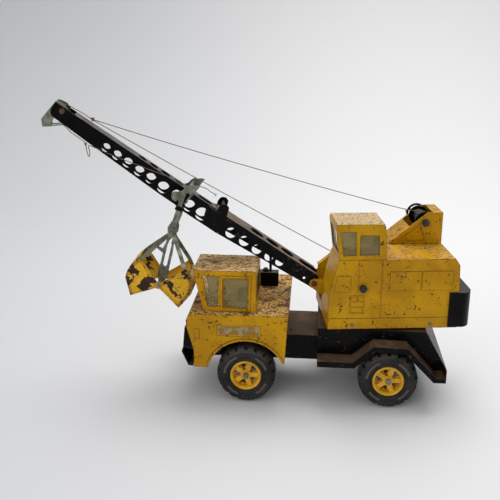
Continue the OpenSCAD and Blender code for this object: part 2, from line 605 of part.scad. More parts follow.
// one pair of arms, along -z from the yoke pin; ya at the yoke, yb at the shell
module arm_pair(ya, yb) both() difference() {
  union() {
    rod(0, 0, ya, ya + 1.2, 4.2);
    translate([-3.8, ya, -12]) cube([7.6, 1.2, 12]);
    hull() {
      translate([-3.8, ya, -12.2]) cube([7.6, 1.2, 0.4]);
      translate([-3.8, yb, -arm_l + 9]) cube([7.6, 1.2, 0.4]);
    }
    translate([-3.8, yb, -arm_l]) cube([7.6, 1.2, 9.2]);
    rod(0, -arm_l, yb, yb + 1.2, 4);
  }
  rod(0, 0, ya - 1, ya + 2.4, 2.46);
  rod(0, -arm_l, yb - 1, yb + 2.4, 1.6);
}
module clam_arm_left() color(grey) clam_at() rotate([0, arm_ang, 0]) arm_pair(1.9, clam_w - 2.8);
module clam_arm_right() color(grey) clam_at() rotate([0, -arm_ang, 0]) arm_pair(3.5, clam_w - 4.4);
// shell outline, radius against the angle from the stem; the tip is the last point
shell_pts = [[62, clam_a - 4], [63, 52], [63.7, 60], [64.1, 68], [64.2, 76], [64.1, 84], [63.6, 91], [58, 125.5]];
function pol(r, a) = [-r * sin(a), r * cos(a)];
module shell_plate() union() {
  polygon(concat([[4, 5], [-4, 6.6]], [for (p = shell_pts) pol(p[0], p[1])], [pol(7, 150)]));
  circle(r = 6.8);
  translate(pol(clam_r, clam_a)) circle(r = 3.6);
}
module shell_back() polygon(concat([for (p = shell_pts) if (p[1] > 50) pol(p[0], p[1])],
  [for (i = [len(shell_pts) - 1 : -1 : 1]) pol(shell_pts[i][0] - 1.5, shell_pts[i][1])]));
module shell_half(w) {
  both() {
    difference() {
      xz(w - 1.2, w) shell_plate();
      rod(0, 0, 0, 50, 2.46);
      // a clear corner past the hinge, on the other shell's side
      translate([6.9, 0, -20]) cube([20, 60, 40]);
    }
    translate([-clam_r * sin(clam_a), w - 0.2, clam_r * cos(clam_a)]) rotate([-90, 0, 0]) cylinder(h = 1.8, r = 3);
  }
  xz(-w + 0.6, w - 0.6) shell_back();
}
module clam_shell_left() color(yellow) clam_at() translate([0, 0, -clam_d]) shell_half(clam_w);
module clam_shell_right() color(yellow) clam_at() translate([0, 0, -clam_d]) mirror([1, 0, 0]) shell_half(clam_w - 1.6);

// ---------- lines ----------
function unit(v) = v / norm(v);
function tangent(p, i) = unit(p[min(i + 1, len(p) - 1)] - p[max(i - 1, 0)]);
function side_of(t) = unit(cross(t, abs(t[1]) > 0.9 ? [0, 0, 1] : [0, 1, 0]));
// a round line of radius r swept along the points p, with n sides
module line_sweep(p, r, n = 8) {
  m = len(p);
  pts = [for (i = [0 : m - 1]) let (t = tangent(p, i), a = side_of(t), b = cross(t, a))
    for (k = [0 : n - 1]) p[i] + r * (cos(360 * k / n) * a + sin(360 * k / n) * b)];
  walls = [for (i = [0 : m - 2]) for (k = [0 : n - 1]) let (q = (k + 1) % n)
    each [[i * n + k, i * n + q, (i + 1) * n + k], [i * n + q, (i + 1) * n + q, (i + 1) * n + k]]];
  ends = [[for (k = [n - 1 : -1 : 0]) k], [for (k = [0 : n - 1]) (m - 1) * n + k]];
  polyhedron(points = pts, faces = concat(ends, walls), convexity = 4);
}
line_r = 0.8;
// from the winch drum forward to the knot near the tip
boom_route = [[338, 45, 312], [341.5, 45, 320], [338, 45, 328.5], [331, 45, 333.4], [322, 45, 334.8], [290, 45, 338.5],
  [150, 43, 377], [0, 40.5, 421], [-140, 38, 463.5], [-281, 34, 509.4]];
// from the hoist drum forward, past the knot and over the tip sheave
hoist_route = [[204, 36, 216], [208, 36, 223.5], [206, 36, 231.5], [200.5, 36, 236.2], [194, 36, 236.8], [180, 36, 243.5],
  [150, 36, 260.5], [0, 36, 345], [-140, 36, 425], [-240, 36, 483.5], [-281, 36, 508], [-300, 36, 521], [-326, 36, 535.4],
  [-333.2, 36, 537.1]];
// loose along the near side of the upper boom, with one hanging loop, and over the hanger bar
clam_route = [[-334, 21.8, 503.6], [-326, 20.2, 496], [-317.9, 18.6, 488.1], [-306, 18.6, 479.4], [-296, 18.4, 471.8],
  [-294.8, 17.8, 468.6], [-294, 17.2, 462], [-292.6, 16.8, 453.4], [-291.2, 16.4, 448.2], [-289.6, 15.9, 446.8],
  [-288.2, 15.4, 449], [-287.9, 15, 454], [-288.9, 14.8, 460.4], [-290, 14.8, 464.4], [-288.8, 15.2, 466.4],
  [-285.2, 16.4, 465.2], [-278, 17.8, 461.6], [-269.9, 18.6, 457.9], [-250, 18.6, 448.8], [-223.3, 18.6, 437.6],
  [-196.3, 18.6, 426.9], [-164.6, 18.6, 414.2], [-150, 18.8, 408.8], [-140, 21, 403.2], [-132, 23, 397.6],
  [-123.5, 21.5, 392.6], [-115, 16.5, 391.6], [-106.6, 13, 392], [-96.2, 12, 392.2], [-87.6, 12, 389.9],
  [-79.7, 12, 386.7], [-73.7, 12, 381.2], [-66.8, 12, 377.7]];
module boom_line() color([0.35, 0.30, 0.25]) upper() line_sweep(boom_route, line_r);
module hoist_line() color([0.35, 0.30, 0.25]) upper() line_sweep(hoist_route, line_r);
module clam_line() color([0.40, 0.36, 0.28]) upper() line_sweep(clam_route, line_r);

// ---------- drawing ----------
chassis_rail();
rear_deck();
front_bumper();
grille();
fender_body();
cab_shell();
cab_glazing();
exhaust_unit();
axle(0);  // front_axle
axle(wheelbase);  // rear_axle
axle_brackets();
turntable_plate();
turntable_pivot();
color(black) at_wheel(0, -1) tyre_shape();  // tyre_fl
color(yellow) at_wheel(0, -1) rim_shape();  // rim_fl
color(grey) at_wheel(0, -1) cap_cut();  // cap_fl
color(black) at_wheel(0, 1) tyre_shape();  // tyre_fr
color(yellow) at_wheel(0, 1) rim_shape();  // rim_fr
color(grey) at_wheel(0, 1) cap_cut();  // cap_fr
color(black) at_wheel(wheelbase, -1) tyre_shape();  // tyre_rl
color(yellow) at_wheel(wheelbase, -1) rim_shape();  // rim_rl
color(grey) at_wheel(wheelbase, -1) cap_cut();  // cap_rl
color(black) at_wheel(wheelbase, 1) tyre_shape();  // tyre_rr
color(yellow) at_wheel(wheelbase, 1) rim_shape();  // rim_rr
color(grey) at_wheel(wheelbase, 1) cap_cut();  // cap_rr
house_base();
house_shell();
house_screws();
operator_cab();
operator_glazing();
gantry();
counterweight();
boom_bracket();
boom_pivot_pin();
luff_axle();
luff_drum();
luff_handwheel();
luff_knob();
hoist_axle();
hoist_drum();
hoist_knob();
boom_lower();
boom_upper();
boom_splice();
boom_nose();
tip_pin();
tip_sheave();
guide_roller();
clam_hanger();
hanger_bar();
yoke_pin();
clam_tie();
clam_slide_bar();
clam_arm_left();
clam_arm_right();
clam_shell_left();
clam_shell_right();
boom_line();
hoist_line();
clam_line();
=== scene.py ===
"""Toy crane truck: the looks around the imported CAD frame.

Metres, in the frame of the CAD: the truck's front is at -X and its left side at -Y.
"""
import json
import math
import random

import bmesh
import bpy
from mathutils import Matrix, Vector


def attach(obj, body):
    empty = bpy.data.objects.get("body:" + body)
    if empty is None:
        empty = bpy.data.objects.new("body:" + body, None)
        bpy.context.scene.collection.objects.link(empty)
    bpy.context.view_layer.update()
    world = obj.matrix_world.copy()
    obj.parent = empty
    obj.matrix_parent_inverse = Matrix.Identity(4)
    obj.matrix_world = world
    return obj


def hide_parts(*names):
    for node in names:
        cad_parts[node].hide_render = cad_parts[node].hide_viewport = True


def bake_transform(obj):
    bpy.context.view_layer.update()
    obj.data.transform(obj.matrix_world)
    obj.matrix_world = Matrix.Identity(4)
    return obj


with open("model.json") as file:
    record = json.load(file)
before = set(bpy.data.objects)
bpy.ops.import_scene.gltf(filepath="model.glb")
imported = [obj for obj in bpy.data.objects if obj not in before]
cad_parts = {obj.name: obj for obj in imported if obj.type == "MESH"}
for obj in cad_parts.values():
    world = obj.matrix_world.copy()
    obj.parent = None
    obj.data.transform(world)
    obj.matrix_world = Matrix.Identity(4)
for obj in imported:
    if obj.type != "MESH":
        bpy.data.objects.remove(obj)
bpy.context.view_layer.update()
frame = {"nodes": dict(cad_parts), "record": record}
NODES = frame["nodes"]
random.seed(7)
MM = 0.001


# ---------- camera ----------
CAMERA_PLACE = Vector((0.1023, -1.4325, 0.7147))
CAMERA_YAW = -0.0843  # radians from +Y towards +X
CAMERA_PITCH = -0.3050
CAMERA_ROLL = 0.0052
CAMERA_LENS = 57.2  # mm, on a sensor of CAMERA_SENSOR
CAMERA_SENSOR = 36


def make_camera():
    ahead = Vector((math.sin(CAMERA_YAW), math.cos(CAMERA_YAW), 0))
    level = Vector((math.cos(CAMERA_YAW), -math.sin(CAMERA_YAW), 0))
    forward = ahead * math.cos(CAMERA_PITCH) + Vector((0, 0, math.sin(CAMERA_PITCH)))
    above = level.cross(forward)
    right = level * math.cos(CAMERA_ROLL) + above * math.sin(CAMERA_ROLL)
    up = -level * math.sin(CAMERA_ROLL) + above * math.cos(CAMERA_ROLL)
    data = bpy.data.cameras.new("camera")
    data.sensor_width = CAMERA_SENSOR
    data.lens = CAMERA_LENS
    cam = bpy.data.objects.new("camera", data)
    turn = Matrix((right, up, -forward)).transposed()
    cam.matrix_world = Matrix.Translation(CAMERA_PLACE) @ turn.to_4x4()
    bpy.context.scene.collection.objects.link(cam)
    bpy.context.scene.camera = cam


make_camera()


# ---------- shader helpers ----------
EDGE_SAMPLES = 4


class Shader:
    """One material, with short calls for the nodes that this script uses."""

    def __init__(self, name, **principled):
        self.mat = bpy.data.materials.new(name)
        self.mat.use_nodes = True
        self.tree = self.mat.node_tree
        self.bsdf = self.tree.nodes["Principled BSDF"]
        self.set(**principled)

    def feed(self, socket, value):
        """Links another node's output to the socket, or sets the socket to a number or an RGB colour."""
        if isinstance(value, bpy.types.NodeSocket):
            self.tree.links.new(value, socket)
        else:
            socket.default_value = (*value, 1) if isinstance(value, tuple) and len(value) == 3 else value

    def set(self, **values):
        """Feeds the surface shader; Base_Color stands for its socket Base Color."""
        for key, value in values.items():
            self.feed(self.bsdf.inputs[key.replace("_", " ")], value)

    def node(self, kind, **inputs):
        """A new node. From_Min stands for its socket From Min, and _0 for its first socket."""
        made = self.tree.nodes.new(kind)
        for key, value in inputs.items():
            socket = made.inputs[int(key[1:])] if key[1:].isdigit() else made.inputs[key.replace("_", " ")]
            self.feed(socket, value)
        return made

    def place(self):
        return self.node("ShaderNodeTexCoord").outputs["Object"]

    def upward(self):
        """1 where the surface faces up, 0 where it stands upright, -1 underneath."""
        normal = self.node("ShaderNodeTexCoord").outputs["Normal"]
        return self.node("ShaderNodeSeparateXYZ", _0=normal).outputs["Z"]

    def math(self, operation, a, b=0.0, clamp=False):
        made = self.node("ShaderNodeMath", _0=a, _1=b)
        made.operation = operation
        made.use_clamp = clamp
        return made.outputs[0]

    def weigh(self, *terms):
        """The sum of each value times its number."""
        total, *others = [self.math("MULTIPLY", value, number) for value, number in terms]
        for other in others:
            total = self.math("ADD", total, other)
        return total

    def ramp(self, value, low, high, to_low=0.0, to_high=1.0):
        """A smooth step from to_low, where the value is low, to to_high, where it is high."""
        made = self.node("ShaderNodeMapRange", Value=value, From_Min=low, From_Max=high, To_Min=to_low,
                         To_Max=to_high)
        made.interpolation_type = "SMOOTHSTEP"
        return made.outputs["Result"]

    def noise(self, scale, detail, rough=0.55, distortion=0.0):
        made = self.node("ShaderNodeTexNoise", Vector=self.place(), Scale=scale, Detail=detail, Roughness=rough,
                         Distortion=distortion)
        return made.outputs["Fac"]

    def mix(self, share, a, b):
        """Colour a where share is 0, colour b where it is 1."""
        made = self.tree.nodes.new("ShaderNodeMix")
        made.data_type = "RGBA"
        for number, value in ((0, share), (6, a), (7, b)):
            self.feed(made.inputs[number], value)
        return made.outputs[2]

    def edges(self, radius):
        """0 on flat faces, rising towards 1 within the radius of a sharp edge."""
        soft = self.node("ShaderNodeBevel", Radius=radius)
        soft.samples = EDGE_SAMPLES
        true = self.node("ShaderNodeNewGeometry").outputs["Normal"]
        dot = self.node("ShaderNodeVectorMath", _0=soft.outputs[0], _1=true)
        dot.operation = "DOT_PRODUCT"
        return self.math("SUBTRACT", 1.0, dot.outputs["Value"], clamp=True)

    def bump(self, height, strength, distance):
        made = self.node("ShaderNodeBump", Height=height, Strength=strength, Distance=distance)
        self.set(Normal=made.outputs[0])


def srgb(r, g, b):
    """The linear colour of three sRGB numbers from 0 to 255."""
    shares = (r / 255, g / 255, b / 255)
    return tuple(c / 12.92 if c <= 0.04045 else ((c + 0.055) / 1.055) ** 2.4 for c in shares)


# ---------- materials ----------
PAINT = srgb(212, 158, 4)
PAINT_DULL = srgb(188, 136, 6)
PAINT_GRIME = srgb(120, 76, 10)
TAN = srgb(216, 190, 146)
RUST = srgb(52, 32, 23)
RUST_LIGHT = srgb(80, 50, 34)
RUST_WARM = srgb(112, 74, 40)
BARE_DARK = srgb(92, 58, 34)
BARE_LIGHT = srgb(140, 98, 58)
EDGE_CHIPS = 0.17  # how much an edge adds to the chances of a chip


def worn_yellow(name, chips, rubbed_share, tan, specks, edge_gain, bare=0.0, top=TAN):
    """Yellow enamel, chipped most along its edges. Its tops are rubbed towards the colour top and rusty.

    A higher chips number leaves fewer chips. rubbed_share is how much of the tops is rubbed, and tan is how far
    towards top. specks and bare are how much of the tops is specked with rust and how much is bare metal.
    """
    s = Shader(name, Specular_IOR_Level=0.16)
    broad = s.noise(14, 3)
    patch = s.noise(45, 5, 0.6)
    speck = s.noise(210, 5, 0.66)
    fine = s.noise(560, 3, 0.6)
    up = s.ramp(s.upward(), 0.55, 0.9)
    edge = s.ramp(s.edges(2.4 * MM), 0.02, 0.3)
    base = s.mix(s.ramp(broad, 0.35, 0.65), PAINT, PAINT_DULL)
    base = s.mix(s.ramp(fine, 0.35, 0.75, 0, 0.22), base, PAINT_GRIME)
    rubbed = s.math("MULTIPLY", up, s.ramp(patch, 0.62 - 0.35 * rubbed_share, 0.72 - 0.3 * rubbed_share))
    base = s.mix(s.math("MULTIPLY", rubbed, tan), base, top)
    grain = s.weigh((speck, 0.62), (fine, 0.38))
    top_specks = s.math("MULTIPLY", up, s.ramp(grain, 0.6 - 0.13 * specks, 0.66 - 0.13 * specks))
    warm = s.math("MULTIPLY", up, s.ramp(patch, 0.66 - 0.2 * specks, 0.8 - 0.2 * specks, 0, 0.75))
    base = s.mix(warm, base, RUST_WARM)
    if bare:
        open_metal = s.ramp(s.weigh((patch, 0.7), (speck, 0.3)), 0.7 - 0.4 * bare, 0.76 - 0.4 * bare)
        metal = s.mix(s.ramp(speck, 0.3, 0.7), BARE_DARK, BARE_LIGHT)
        base = s.mix(s.math("MULTIPLY", up, open_metal), base, metal)
    chip = s.ramp(s.weigh((speck, 0.7), (patch, 0.3), (edge, EDGE_CHIPS * edge_gain)), chips + 0.035, chips + 0.05)
    worn = s.math("MAXIMUM", top_specks, chip)
    s.set(Base_Color=s.mix(worn, base, s.mix(s.ramp(fine, 0.4, 0.6), RUST, RUST_LIGHT)))
    s.set(Roughness=s.math("ADD", s.ramp(worn, 0, 1, 0.0, 0.35), s.ramp(rubbed, 0, 1, 0.38, 0.66), clamp=True))
    s.bump(s.weigh((s.noise(90, 2), 0.25), (worn, -0.8)), 0.35, 0.5 * MM)
    return s.mat


def islands_yellow(name):
    """Paint that survives in islands, with dark chipped borders towards every edge."""
    s = Shader(name, Specular_IOR_Level=0.3)
    patch = s.noise(40, 5, 0.62, distortion=0.3)
    speck = s.noise(190, 5, 0.62)
    rim = s.ramp(s.edges(9 * MM), 0.0, 0.12)
    level = s.weigh((patch, 0.75), (speck, 0.25), (rim, 0.2))
    gone = s.ramp(level, 0.525, 0.54)
    lip = s.math("SUBTRACT", s.ramp(level, 0.508, 0.52), gone, clamp=True)
    paint = s.mix(s.ramp(speck, 0.3, 0.7), srgb(244, 188, 16), srgb(222, 162, 12))
    metal = s.mix(s.ramp(speck, 0.35, 0.65), srgb(38, 24, 18), srgb(66, 42, 28))
    colour = s.mix(s.math("MULTIPLY", lip, 0.6), s.mix(gone, paint, metal), srgb(226, 190, 90))
    s.set(Base_Color=colour, Roughness=s.ramp(gone, 0, 1, 0.4, 0.75))
    s.bump(s.math("SUBTRACT", 1.0, gone), 0.6, 0.6 * MM)
    return s.mat


def worn_black(name, top=srgb(104, 96, 90), rust=srgb(84, 56, 40), top_share=0.6, chips=0.66):
    """Black enamel, dusty on top over top_share of it, with rusty chips: the fewer, the higher chips is."""
    s = Shader(name, Specular_IOR_Level=0.1)
    patch = s.noise(40, 5, 0.6)
    speck = s.noise(170, 5, 0.62)
    up = s.ramp(s.upward(), 0.35, 0.8)
    edge = s.ramp(s.edges(1.6 * MM), 0.02, 0.3)
    base = s.mix(s.ramp(patch, 0.3, 0.7), srgb(4, 4, 4), srgb(11, 10, 9))
    dust = s.math("MULTIPLY", up, s.ramp(patch, 0.3, 0.7, 0.45 * top_share, top_share))
    base = s.mix(dust, base, top)
    chip = s.ramp(s.weigh((speck, 0.75), (patch, 0.25), (edge, 0.07)), chips, chips + 0.03, 0, 0.8)
    s.set(Base_Color=s.mix(chip, base, rust))
    s.set(Roughness=s.math("ADD", s.ramp(dust, 0, 0.6, 0.3, 0.62), s.math("MULTIPLY", chip, 0.3), clamp=True))
    s.bump(s.weigh((s.noise(120, 2), 0.3), (chip, -1.0)), 0.25, 0.4 * MM)
    return s.mat


def plated(name, light=srgb(144, 147, 130), dark=srgb(98, 101, 84)):
    """Dull grey-green plated steel."""
    s = Shader(name, Metallic=0.55)
    patch = s.noise(60, 5, 0.6)
    fine = s.noise(380, 4, 0.6)
    base = s.mix(s.ramp(patch, 0.35, 0.65), light, dark)
    stain = s.ramp(fine, 0.58, 0.72, 0, 0.5)
    s.set(Base_Color=s.mix(stain, base, srgb(74, 66, 52)))
    s.set(Roughness=s.ramp(patch, 0.3, 0.7, 0.36, 0.58))
    s.bump(fine, 0.12, 0.3 * MM)
    return s.mat


def rusty(name):
    """Bare steel, rusted all over."""
    s = Shader(name, Metallic=0.3, Roughness=0.7)
    fine = s.noise(500, 4, 0.65)
    s.set(Base_Color=s.mix(s.ramp(fine, 0.35, 0.65), srgb(58, 38, 28), srgb(120, 84, 60)))
    s.bump(fine, 0.4, 0.5 * MM)
    return s.mat


def rubber(name):
    """Black moulded rubber with dust on its upper side."""
    s = Shader(name, Specular_IOR_Level=0.25)
    broad = s.noise(35, 4, 0.6)
    fine = s.noise(700, 4, 0.6)
    base = s.mix(s.ramp(broad, 0.35, 0.7), srgb(30, 29, 28), srgb(54, 52, 49))
    up = s.ramp(s.upward(), 0.1, 0.9, 0, 0.55)
    base = s.mix(s.math("MULTIPLY", up, s.ramp(broad, 0.3, 0.6)), base, srgb(112, 104, 98))
    base = s.mix(s.ramp(fine, 0.5, 0.75, 0, 0.4), base, srgb(90, 86, 82))
    s.set(Base_Color=base, Roughness=s.ramp(broad, 0.3, 0.7, 0.62, 0.82))
    s.bump(fine, 0.2, 0.3 * MM)
    return s.mat


def rim_plastic(name):
    """Moulded yellow plastic, faintly glossy, with grime."""
    s = Shader(name, Coat_Weight=0.15, Coat_Roughness=0.3)
    broad = s.noise(60, 4, 0.6)
    speck = s.noise(300, 4, 0.6)
    base = s.mix(s.ramp(broad, 0.35, 0.7), srgb(232, 176, 22), srgb(208, 152, 16))
    base = s.mix(s.ramp(speck, 0.62, 0.7, 0, 0.55), base, srgb(110, 66, 20))
    s.set(Base_Color=base, Roughness=s.ramp(broad, 0.3, 0.7, 0.3, 0.48))
    s.bump(speck, 0.08, 0.3 * MM)
    return s.mat


def glazing(name):
    """A thin sheet of yellowed clear plastic."""
    s = Shader(name, Alpha=0.17, Roughness=0.14)
    smear = s.noise(40, 4, 0.6)
    s.set(Base_Color=s.mix(s.ramp(smear, 0.35, 0.7), srgb(226, 206, 140), srgb(190, 168, 104)))
    return s.mat


def cord_fibre(name):
    """Brown twisted fibre."""
    s = Shader(name, Roughness=0.85)
    strand = s.noise(900, 3, 0.6)
    s.set(Base_Color=s.mix(s.ramp(strand, 0.35, 0.65), srgb(74, 58, 44), srgb(138, 118, 94)))
    s.bump(strand, 0.5, 0.3 * MM)
    return s.mat


def plain(name, colour, roughness):
    """One colour, for small pieces that are hardly seen."""
    return Shader(name, Base_Color=colour, Roughness=roughness, Metallic=0.0, Specular_IOR_Level=0.3).mat


def worn_silver(name):
    """A printed silver patch, mostly worn through to the paint."""
    s = Shader(name, Roughness=0.5)
    patch = s.noise(70, 5, 0.65)
    left = s.ramp(patch, 0.5, 0.56)
    s.set(Base_Color=s.mix(left, srgb(150, 108, 18), srgb(160, 148, 112)), Metallic=s.ramp(left, 0, 1, 0, 0.35))
    return s.mat


def pale_floor(name):
    """Pale paper, painted lighter towards +X: a painted pool of light from that side."""
    s = Shader(name, Roughness=0.75)
    across = s.node("ShaderNodeSeparateXYZ", _0=s.place())
    # painted light: the paper's colour grows lighter towards +X, as if more light fell on that side
    painted_light_towards_x = s.ramp(across.outputs["X"], -0.9, 0.8)
    s.set(Base_Color=s.mix(painted_light_towards_x, srgb(206, 206, 206), srgb(228, 226, 225)))
    return s.mat


YELLOW = worn_yellow("enamel_yellow_house", chips=0.55, rubbed_share=0.5, tan=0.5, specks=0.6, edge_gain=1.6,
                     top=srgb(176, 140, 84))
YELLOW_CAB = worn_yellow("enamel_yellow_cab", chips=0.545, rubbed_share=0.9, tan=0.6, specks=0.8, edge_gain=1.8)
YELLOW_DECK = worn_yellow("enamel_yellow_deck", chips=0.55, rubbed_share=0.8, tan=0.4, specks=0.85, edge_gain=1.6,
                          bare=0.5)
YELLOW_OPERATOR = worn_yellow("enamel_yellow_operator", chips=0.555, rubbed_share=1.1, tan=0.85, specks=0.6,
                              edge_gain=1.8, top=srgb(196, 174, 136))
YELLOW_CLAM = islands_yellow("enamel_yellow_clam")
BLACK = worn_black("enamel_black")
BLACK_DECK = worn_black("enamel_black_deck", top=srgb(112, 88, 68), rust=srgb(96, 64, 42), top_share=0.85,
                        chips=0.6)
BLACK_BOOM = worn_black("enamel_black_boom", top=srgb(126, 118, 112), top_share=0.85, chips=0.64)
BLACK_BOOM_LOW = worn_black("enamel_black_boom_low", top=srgb(128, 112, 98), rust=srgb(96, 70, 52), top_share=0.9,
                            chips=0.58)
PLATED = plated("plated_steel")
KNOB = plated("knob_steel", srgb(74, 74, 64), srgb(44, 44, 38))
RUSTY = rusty("rusty_steel")
RUBBER = rubber("tyre_rubber")
RIM = rim_plastic("rim_plastic")
GLASS = glazing("glazing")
CORD = cord_fibre("cord_fibre")
DUSTY_MARK = plain("dusty_mark", srgb(104, 100, 95), 0.8)
DARK_TRIM = plain("dark_trim", srgb(26, 24, 22), 0.5)
KEPT_PAINT = worn_yellow("kept_paint", chips=0.6, rubbed_share=0.1, tan=0.2, specks=0.25, edge_gain=0)
LINING = plain("cab_lining", srgb(214, 190, 120), 0.8)
SEAT = plain("seat_vinyl", srgb(96, 84, 58), 0.7)
SILVER = worn_silver("worn_silver_patch")
FRAYED = plain("frayed_fibre", srgb(92, 62, 42), 0.9)

# ---------- the CAD nodes ----------
EDGE_ROUND = 0.4 * MM  # bevel on sharp edges
FLAT_ANGLE = math.radians(1)  # faces that meet flatter than this become one
SHARP_ANGLE = math.radians(32)  # edges sharper than this are rounded
SLOT_OF = {row["node"]: row["material_slot"] for row in frame["record"]["subparts"]}
LOOK = {
    "chassis_rail": BLACK_DECK, "rear_deck": BLACK_DECK, "fender_body": YELLOW_DECK, "cab_shell": YELLOW_CAB,
    "operator_cab": YELLOW_OPERATOR, "clam_shell_left": YELLOW_CLAM, "clam_shell_right": YELLOW_CLAM,
    "boom_lower": BLACK_BOOM_LOW, "boom_upper": BLACK_BOOM, "boom_splice": BLACK_BOOM,
    "luff_knob": KNOB, "hoist_knob": KNOB,
}
BY_SLOT = {"yellow_paint": YELLOW, "black_paint": BLACK, "plated_steel": PLATED, "rusty_steel": RUSTY,
           "rim_yellow": RIM, "tyre_rubber": RUBBER, "glazing": GLASS, "line_cord": CORD}
LEFT_SHARP = ("line_cord", "glazing")


def dress(name, slot):
    """Gives a CAD node its material, and rounds its sharp edges."""
    node = NODES[name]
    node.data.materials.clear()
    node.data.materials.append(LOOK.get(name, BY_SLOT[slot]))
    if slot not in LEFT_SHARP:
        flat = node.modifiers.new("flat", "DECIMATE")
        flat.decimate_type = "DISSOLVE"
        flat.angle_limit = FLAT_ANGLE
        soft = node.modifiers.new("soft_edges", "BEVEL")
        soft.width = EDGE_ROUND
        soft.segments = 2
        soft.limit_method = "ANGLE"
        soft.angle_limit = SHARP_ANGLE
        soft.use_clamp_overlap = False


for node_name, node_slot in SLOT_OF.items():
    dress(node_name, node_slot)


# ---------- places ----------
# The CAD's own measures, in mm.
AXLE_X = -16.235  # x of the front axle in the row frame
PIVOT_X = 260  # x of the turntable, from the front axle
SWING = math.radians(7.8)  # angle that the upper works are parked at
WHEELBASE = 260
TYRE_R = 54


def on_chassis(x, y, z):
    """A point given from the front axle in mm, as metres in the row frame."""
    return Vector((x + AXLE_X, y, z)) * MM


def on_house(x, y, z):
    """A point given in the unswung upper works in mm, as metres in the row frame."""
    dx = x - PIVOT_X
    return Vector((AXLE_X + PIVOT_X + math.cos(SWING) * dx - math.sin(SWING) * y,
                   math.sin(SWING) * dx + math.cos(SWING) * y, z)) * MM


# ---------- mesh helpers ----------
def add_object(name, mesh, material):
    """A new object in the scene. Its caller makes it ride, or be the stage, or leaves it where it is."""
    made = bpy.data.objects.new(name, mesh)
    bpy.context.scene.collection.objects.link(made)
    mesh.materials.append(material)
    return made


def mesh_of(name, points, faces, smooth=False):
    mesh = bpy.data.meshes.new(name)
    mesh.from_pydata([tuple(p) for p in points], [], faces)
    for face in mesh.polygons:
        face.use_smooth = smooth
    bm = bmesh.new()
    bm.from_mesh(mesh)
    bmesh.ops.recalc_face_normals(bm, faces=bm.faces)
    bm.to_mesh(mesh)
    bm.free()
    return mesh


def piece(name, mesh, material, body):
    """A new object that rides on a body, with the given material."""
    made = add_object(name, mesh, material)
    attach(made, body)
    return made


# Faces of a box whose eight corners come with z changing fastest, then y, then x.
BOX_FACES = [(0, 1, 3, 2), (4, 6, 7, 5), (0, 4, 5, 1), (2, 3, 7, 6), (0, 2, 6, 4), (1, 5, 7, 3)]


def box(name, place, low, high, material, body, bevel):
    """A block between two corners, given in mm as place() takes them, with its edges rounded by bevel."""
    corners = [place(x, y, z) for x in (low[0], high[0]) for y in (low[1], high[1]) for z in (low[2], high[2])]
    made = piece(name, mesh_of(name, corners, BOX_FACES), material, body)
    soft = made.modifiers.new("soft_edges", "BEVEL")
    soft.width = bevel * MM
    soft.segments = 2


def sweep(points, section, closed=False):
    """Points and faces of a tube; section(i) gives the radius and angle of each point of its ring i."""
    count = len(points)
    rings = []
    side = None
    for i, point in enumerate(points):
        ahead = points[(i + 1) % count] if closed else points[min(i + 1, count - 1)]
        behind = points[i - 1] if closed or i else points[0]
        along = (ahead - behind).normalized()
        if side is None:
            side = along.orthogonal().normalized()
        side = (side - along * side.dot(along)).normalized()
        other = along.cross(side)
        rings.append([point + (side * math.cos(a) + other * math.sin(a)) * r for r, a in section(i)])
    wide = len(rings[0])
    flat = [p for ring in rings for p in ring]
    faces = []
    for i in range(count if closed else count - 1):
        j = (i + 1) % count
        faces += [(i * wide + k, i * wide + (k + 1) % wide, j * wide + (k + 1) % wide, j * wide + k)
                  for k in range(wide)]
    if not closed:
        faces += [tuple(range(wide))[::-1], tuple((count - 1) * wide + k for k in range(wide))]
    return flat, faces


def round_section(radius, sides=12):
    """A round section for sweep()."""
    ring = [(radius, 2 * math.pi * k / sides) for k in range(sides)]
    return lambda i: ring


# ---------- lines ----------
LINE_R = 0.8 * MM
LINE_PITCH = 5.5 * MM  # length of one turn of the strands
LINE_SIDES = 12
STRAND_WAIST = 0.62  # the section's radius between the strands, as a share of LINE_R
STRAND_BULGE = 0.42  # what the strands add to it


def smooth_route(points, spacing):
    """Points about a spacing apart along a Catmull-Rom curve through the given ones."""
    out = []
    padded = [points[0] * 2 - points[1], *points, points[-1] * 2 - points[-2]]
    for a, b, c, d in zip(padded, padded[1:], padded[2:], padded[3:]):
        steps = max(1, round((c - b).length / spacing))
        for k in range(steps):
            t = k / steps
            out.append(0.5 * (2 * b + (c - a) * t + (2 * a - 5 * b + 4 * c - d) * t ** 2
                              + (3 * b - a - 3 * c + d) * t ** 3))
    out.append(points[-1])
    return out


def twisted(points):
    """Points and faces of a line of two twisted strands along the points."""
    ring = [2 * math.pi * k / LINE_SIDES for k in range(LINE_SIDES)]
    reach = [0.0]
    for a, b in zip(points, points[1:]):
        reach.append(reach[-1] + (b - a).length)

    def section(i):
        turn = 2 * math.pi * reach[i] / LINE_PITCH
        return [(LINE_R * (STRAND_WAIST + STRAND_BULGE * abs(math.cos(a - turn))), a) for a in ring]

    return sweep(points, section)


